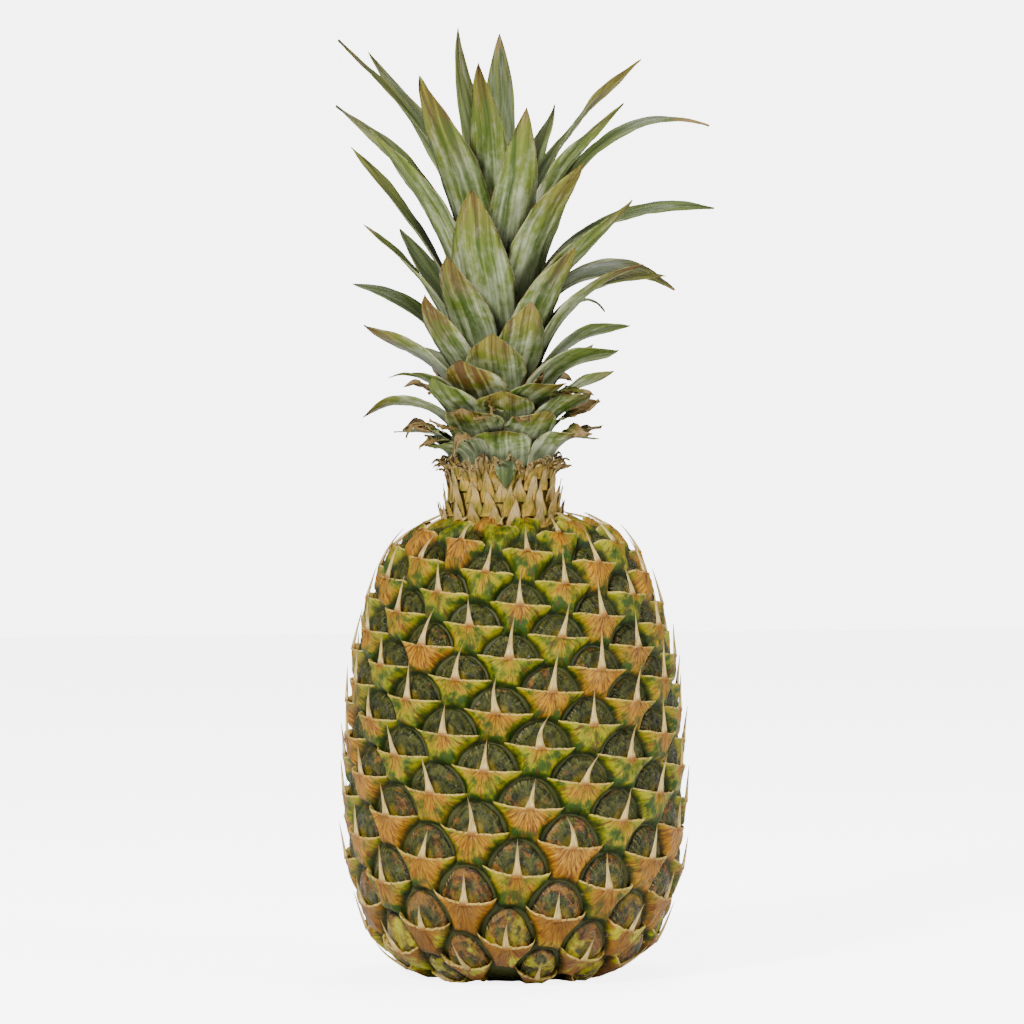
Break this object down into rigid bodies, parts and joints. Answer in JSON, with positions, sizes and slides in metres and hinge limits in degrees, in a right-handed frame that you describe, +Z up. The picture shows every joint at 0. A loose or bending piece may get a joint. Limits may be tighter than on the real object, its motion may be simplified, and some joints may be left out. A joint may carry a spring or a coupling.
{
  "type": "pineapple",
  "caption": "Whole ripe pineapple standing on its flat base, with a spiny patterned skin, a scaly straw-coloured collar and a tall crown of pointed leaves",
  "frame": {"origin": "the middle of the flat base the fruit stands on, at the height of the floor", "axes": "+Z up along the fruit, -Y towards the front of the fruit, +X to the right seen from the front"},
  "size_m": [0.1364, 0.1269, 0.3385],
  "materials": {
    "skin": "satin",
    "collar": "matte",
    "leaf": "satin"
  },
  "bodies": {
    "root": {"fruit": "skin", "crown_stem": "collar", "leaf_01": "leaf", "leaf_02": "leaf", "leaf_03": "leaf", "leaf_04": "leaf", "leaf_05": "leaf", "leaf_06": "leaf", "leaf_07": "leaf", "leaf_08": "leaf", "leaf_09": "leaf", "leaf_10": "leaf", "leaf_11": "leaf", "leaf_12": "leaf", "leaf_13": "leaf", "leaf_14": "leaf", "leaf_15": "leaf", "leaf_16": "leaf", "leaf_17": "leaf", "leaf_18": "leaf", "leaf_19": "leaf", "leaf_20": "leaf", "leaf_21": "leaf", "leaf_22": "leaf", "leaf_23": "leaf", "leaf_24": "leaf", "leaf_25": "leaf", "leaf_26": "leaf", "leaf_27": "leaf", "leaf_28": "leaf", "leaf_29": "leaf", "leaf_30": "leaf", "leaf_31": "leaf", "leaf_32": "leaf", "leaf_33": "leaf", "leaf_34": "leaf", "leaf_35": "leaf", "leaf_36": "leaf", "leaf_37": "leaf", "leaf_38": "leaf", "leaf_39": "leaf", "leaf_40": "leaf", "leaf_41": "leaf", "leaf_42": "leaf", "leaf_43": "leaf", "leaf_44": "leaf", "leaf_45": "leaf", "leaf_46": "leaf", "leaf_47": "leaf", "leaf_48": "leaf", "leaf_49": "leaf", "leaf_50": "leaf", "leaf_51": "leaf", "leaf_52": "leaf", "leaf_53": "leaf", "leaf_54": "leaf", "leaf_55": "leaf", "leaf_56": "leaf", "leaf_57": "leaf", "leaf_58": "leaf"}
  },
  "joints": []
}
